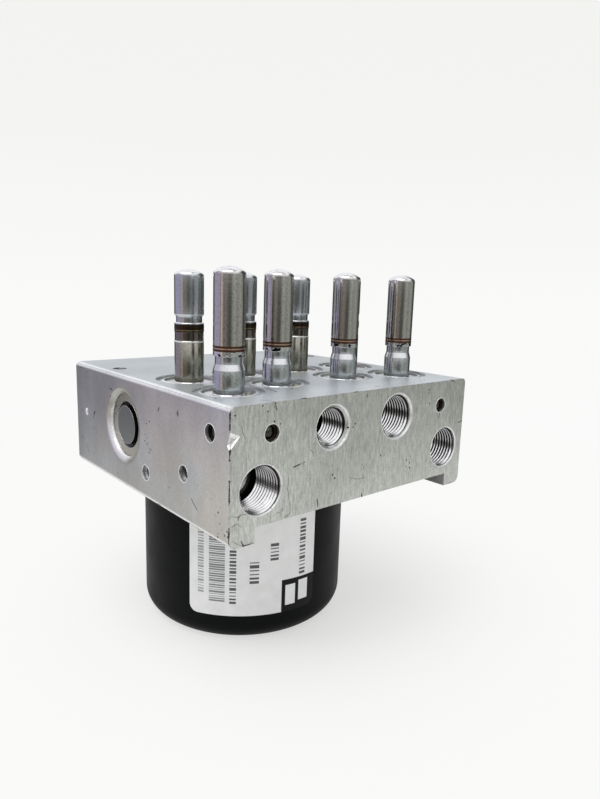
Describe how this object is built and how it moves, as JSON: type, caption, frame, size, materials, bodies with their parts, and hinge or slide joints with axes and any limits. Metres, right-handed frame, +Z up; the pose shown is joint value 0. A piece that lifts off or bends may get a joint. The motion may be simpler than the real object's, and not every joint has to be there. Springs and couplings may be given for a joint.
{
  "type": "anti-lock brake hydraulic unit",
  "caption": "Machined aluminium brake hydraulic block with threaded pipe ports, upright solenoid valve tubes and a round pump motor underneath.",
  "frame": {"origin": "centre of the pump motor's flat end face, on the motor shaft's axis", "axes": "+Z up the motor shaft to the valve tubes, -Y out of the front pipe ports, +X to the right along the port face"},
  "size_m": [0.087, 0.0888, 0.1099],
  "materials": {
    "block_alloy": "machined, satin",
    "ball_steel": "polished ball",
    "valve_steel": "turned",
    "armature_steel": "ground",
    "spring_steel": "drawn wire",
    "plug_alloy": "turned",
    "hard_steel": "ground",
    "cap_steel": "pressed",
    "piston_alloy": "anodised",
    "can_paint": "black satin",
    "ferrite": "matt",
    "laminations": "stacked sheet",
    "copper": "bare",
    "lacquered_wire": "lacquered",
    "sintered_bronze": "sintered",
    "carbon": "pressed",
    "moulding": "glass filled",
    "screw_steel": "zinc plated",
    "label_film": "printed film"
  },
  "bodies": {
    "unit": {"valve_block": "block_alloy", "ball_plugs": "ball_steel", "inlet_dome_1": "valve_steel", "inlet_dome_2": "valve_steel", "inlet_dome_3": "valve_steel", "inlet_dome_4": "valve_steel", "inlet_body_1": "valve_steel", "inlet_body_2": "valve_steel", "inlet_body_3": "valve_steel", "inlet_body_4": "valve_steel", "outlet_pole_1": "valve_steel", "outlet_pole_2": "valve_steel", "outlet_pole_3": "valve_steel", "outlet_pole_4": "valve_steel", "outlet_body_1": "valve_steel", "outlet_body_2": "valve_steel", "outlet_body_3": "valve_steel", "outlet_body_4": "valve_steel", "inlet_spring_1": "spring_steel", "inlet_spring_2": "spring_steel", "inlet_spring_3": "spring_steel", "inlet_spring_4": "spring_steel", "outlet_spring_1": "spring_steel", "outlet_spring_2": "spring_steel", "outlet_spring_3": "spring_steel", "outlet_spring_4": "spring_steel", "pump_spring_left": "spring_steel", "pump_spring_right": "spring_steel", "accumulator_spring_left": "spring_steel", "accumulator_spring_right": "spring_steel", "pump_plug_left": "plug_alloy", "pump_plug_right": "plug_alloy", "accumulator_cap_left": "cap_steel", "accumulator_cap_right": "cap_steel", "motor_can": "can_paint", "motor_magnets": "ferrite", "tail_bush": "sintered_bronze", "drive_bearing": "hard_steel", "brush_plate": "moulding", "carbon_brushes": "carbon", "terminal_pins": "copper", "motor_screws": "screw_steel", "motor_label": "label_film"},
    "rotor": {"rotor_shaft": "hard_steel", "rotor_core": "laminations", "rotor_windings": "lacquered_wire", "commutator": "copper"},
    "ring": {"eccentric_ring": "hard_steel"},
    "pump_piston_left": {"pump_piston_left": "hard_steel"},
    "pump_piston_right": {"pump_piston_right": "hard_steel"},
    "accumulator_piston_left": {"accumulator_piston_left": "piston_alloy"},
    "accumulator_piston_right": {"accumulator_piston_right": "piston_alloy"},
    "inlet_armature_1": {"inlet_armature_1": "armature_steel"},
    "inlet_armature_2": {"inlet_armature_2": "armature_steel"},
    "inlet_armature_3": {"inlet_armature_3": "armature_steel"},
    "inlet_armature_4": {"inlet_armature_4": "armature_steel"},
    "outlet_armature_1": {"outlet_armature_1": "armature_steel"},
    "outlet_armature_2": {"outlet_armature_2": "armature_steel"},
    "outlet_armature_3": {"outlet_armature_3": "armature_steel"},
    "outlet_armature_4": {"outlet_armature_4": "armature_steel"}
  },
  "joints": [
    {"name": "motor_spin", "type": "hinge", "parent": "unit", "child": "rotor", "pos_m": [0, 0, 0.0502], "axis": [0, 0, 1], "continuous": true},
    {"name": "ring_spin", "type": "hinge", "parent": "rotor", "child": "ring", "pos_m": [0, 0.001, 0.0648], "axis": [0, 0, 1], "continuous": true},
    {"name": "pump_stroke_left", "type": "slide", "parent": "unit", "child": "pump_piston_left", "axis": [1, 0, 0], "range_m": [0, 0.001], "deforming": ["pump_spring_left"]},
    {"name": "pump_stroke_right", "type": "slide", "parent": "unit", "child": "pump_piston_right", "axis": [-1, 0, 0], "range_m": [0, 0.001], "deforming": ["pump_spring_right"]},
    {"name": "accumulator_stroke_left", "type": "slide", "parent": "unit", "child": "accumulator_piston_left", "axis": [0, 1, 0], "range_m": [0, 0.006], "stiffness_N_per_m": 3000, "springref_m": -0.004, "deforming": ["accumulator_spring_left"]},
    {"name": "accumulator_stroke_right", "type": "slide", "parent": "unit", "child": "accumulator_piston_right", "axis": [0, 1, 0], "range_m": [0, 0.006], "stiffness_N_per_m": 3000, "springref_m": -0.004, "deforming": ["accumulator_spring_right"]},
    {"name": "inlet_valve_1", "type": "slide", "parent": "unit", "child": "inlet_armature_1", "axis": [0, 0, -1], "range_m": [0, 0.0004], "stiffness_N_per_m": 2000, "springref_m": -0.0008, "deforming": ["inlet_spring_1"]},
    {"name": "inlet_valve_2", "type": "slide", "parent": "unit", "child": "inlet_armature_2", "axis": [0, 0, -1], "range_m": [0, 0.0004], "stiffness_N_per_m": 2000, "springref_m": -0.0008, "deforming": ["inlet_spring_2"]},
    {"name": "inlet_valve_3", "type": "slide", "parent": "unit", "child": "inlet_armature_3", "axis": [0, 0, -1], "range_m": [0, 0.0004], "stiffness_N_per_m": 2000, "springref_m": -0.0008, "deforming": ["inlet_spring_3"]},
    {"name": "inlet_valve_4", "type": "slide", "parent": "unit", "child": "inlet_armature_4", "axis": [0, 0, -1], "range_m": [0, 0.0004], "stiffness_N_per_m": 2000, "springref_m": -0.0008, "deforming": ["inlet_spring_4"]},
    {"name": "outlet_valve_1", "type": "slide", "parent": "unit", "child": "outlet_armature_1", "axis": [0, 0, 1], "range_m": [0, 0.0004], "stiffness_N_per_m": 2000, "springref_m": -0.0008, "deforming": ["outlet_spring_1"]},
    {"name": "outlet_valve_2", "type": "slide", "parent": "unit", "child": "outlet_armature_2", "axis": [0, 0, 1], "range_m": [0, 0.0004], "stiffness_N_per_m": 2000, "springref_m": -0.0008, "deforming": ["outlet_spring_2"]},
    {"name": "outlet_valve_3", "type": "slide", "parent": "unit", "child": "outlet_armature_3", "axis": [0, 0, 1], "range_m": [0, 0.0004], "stiffness_N_per_m": 2000, "springref_m": -0.0008, "deforming": ["outlet_spring_3"]},
    {"name": "outlet_valve_4", "type": "slide", "parent": "unit", "child": "outlet_armature_4", "axis": [0, 0, 1], "range_m": [0, 0.0004], "stiffness_N_per_m": 2000, "springref_m": -0.0008, "deforming": ["outlet_spring_4"]}
  ]
}
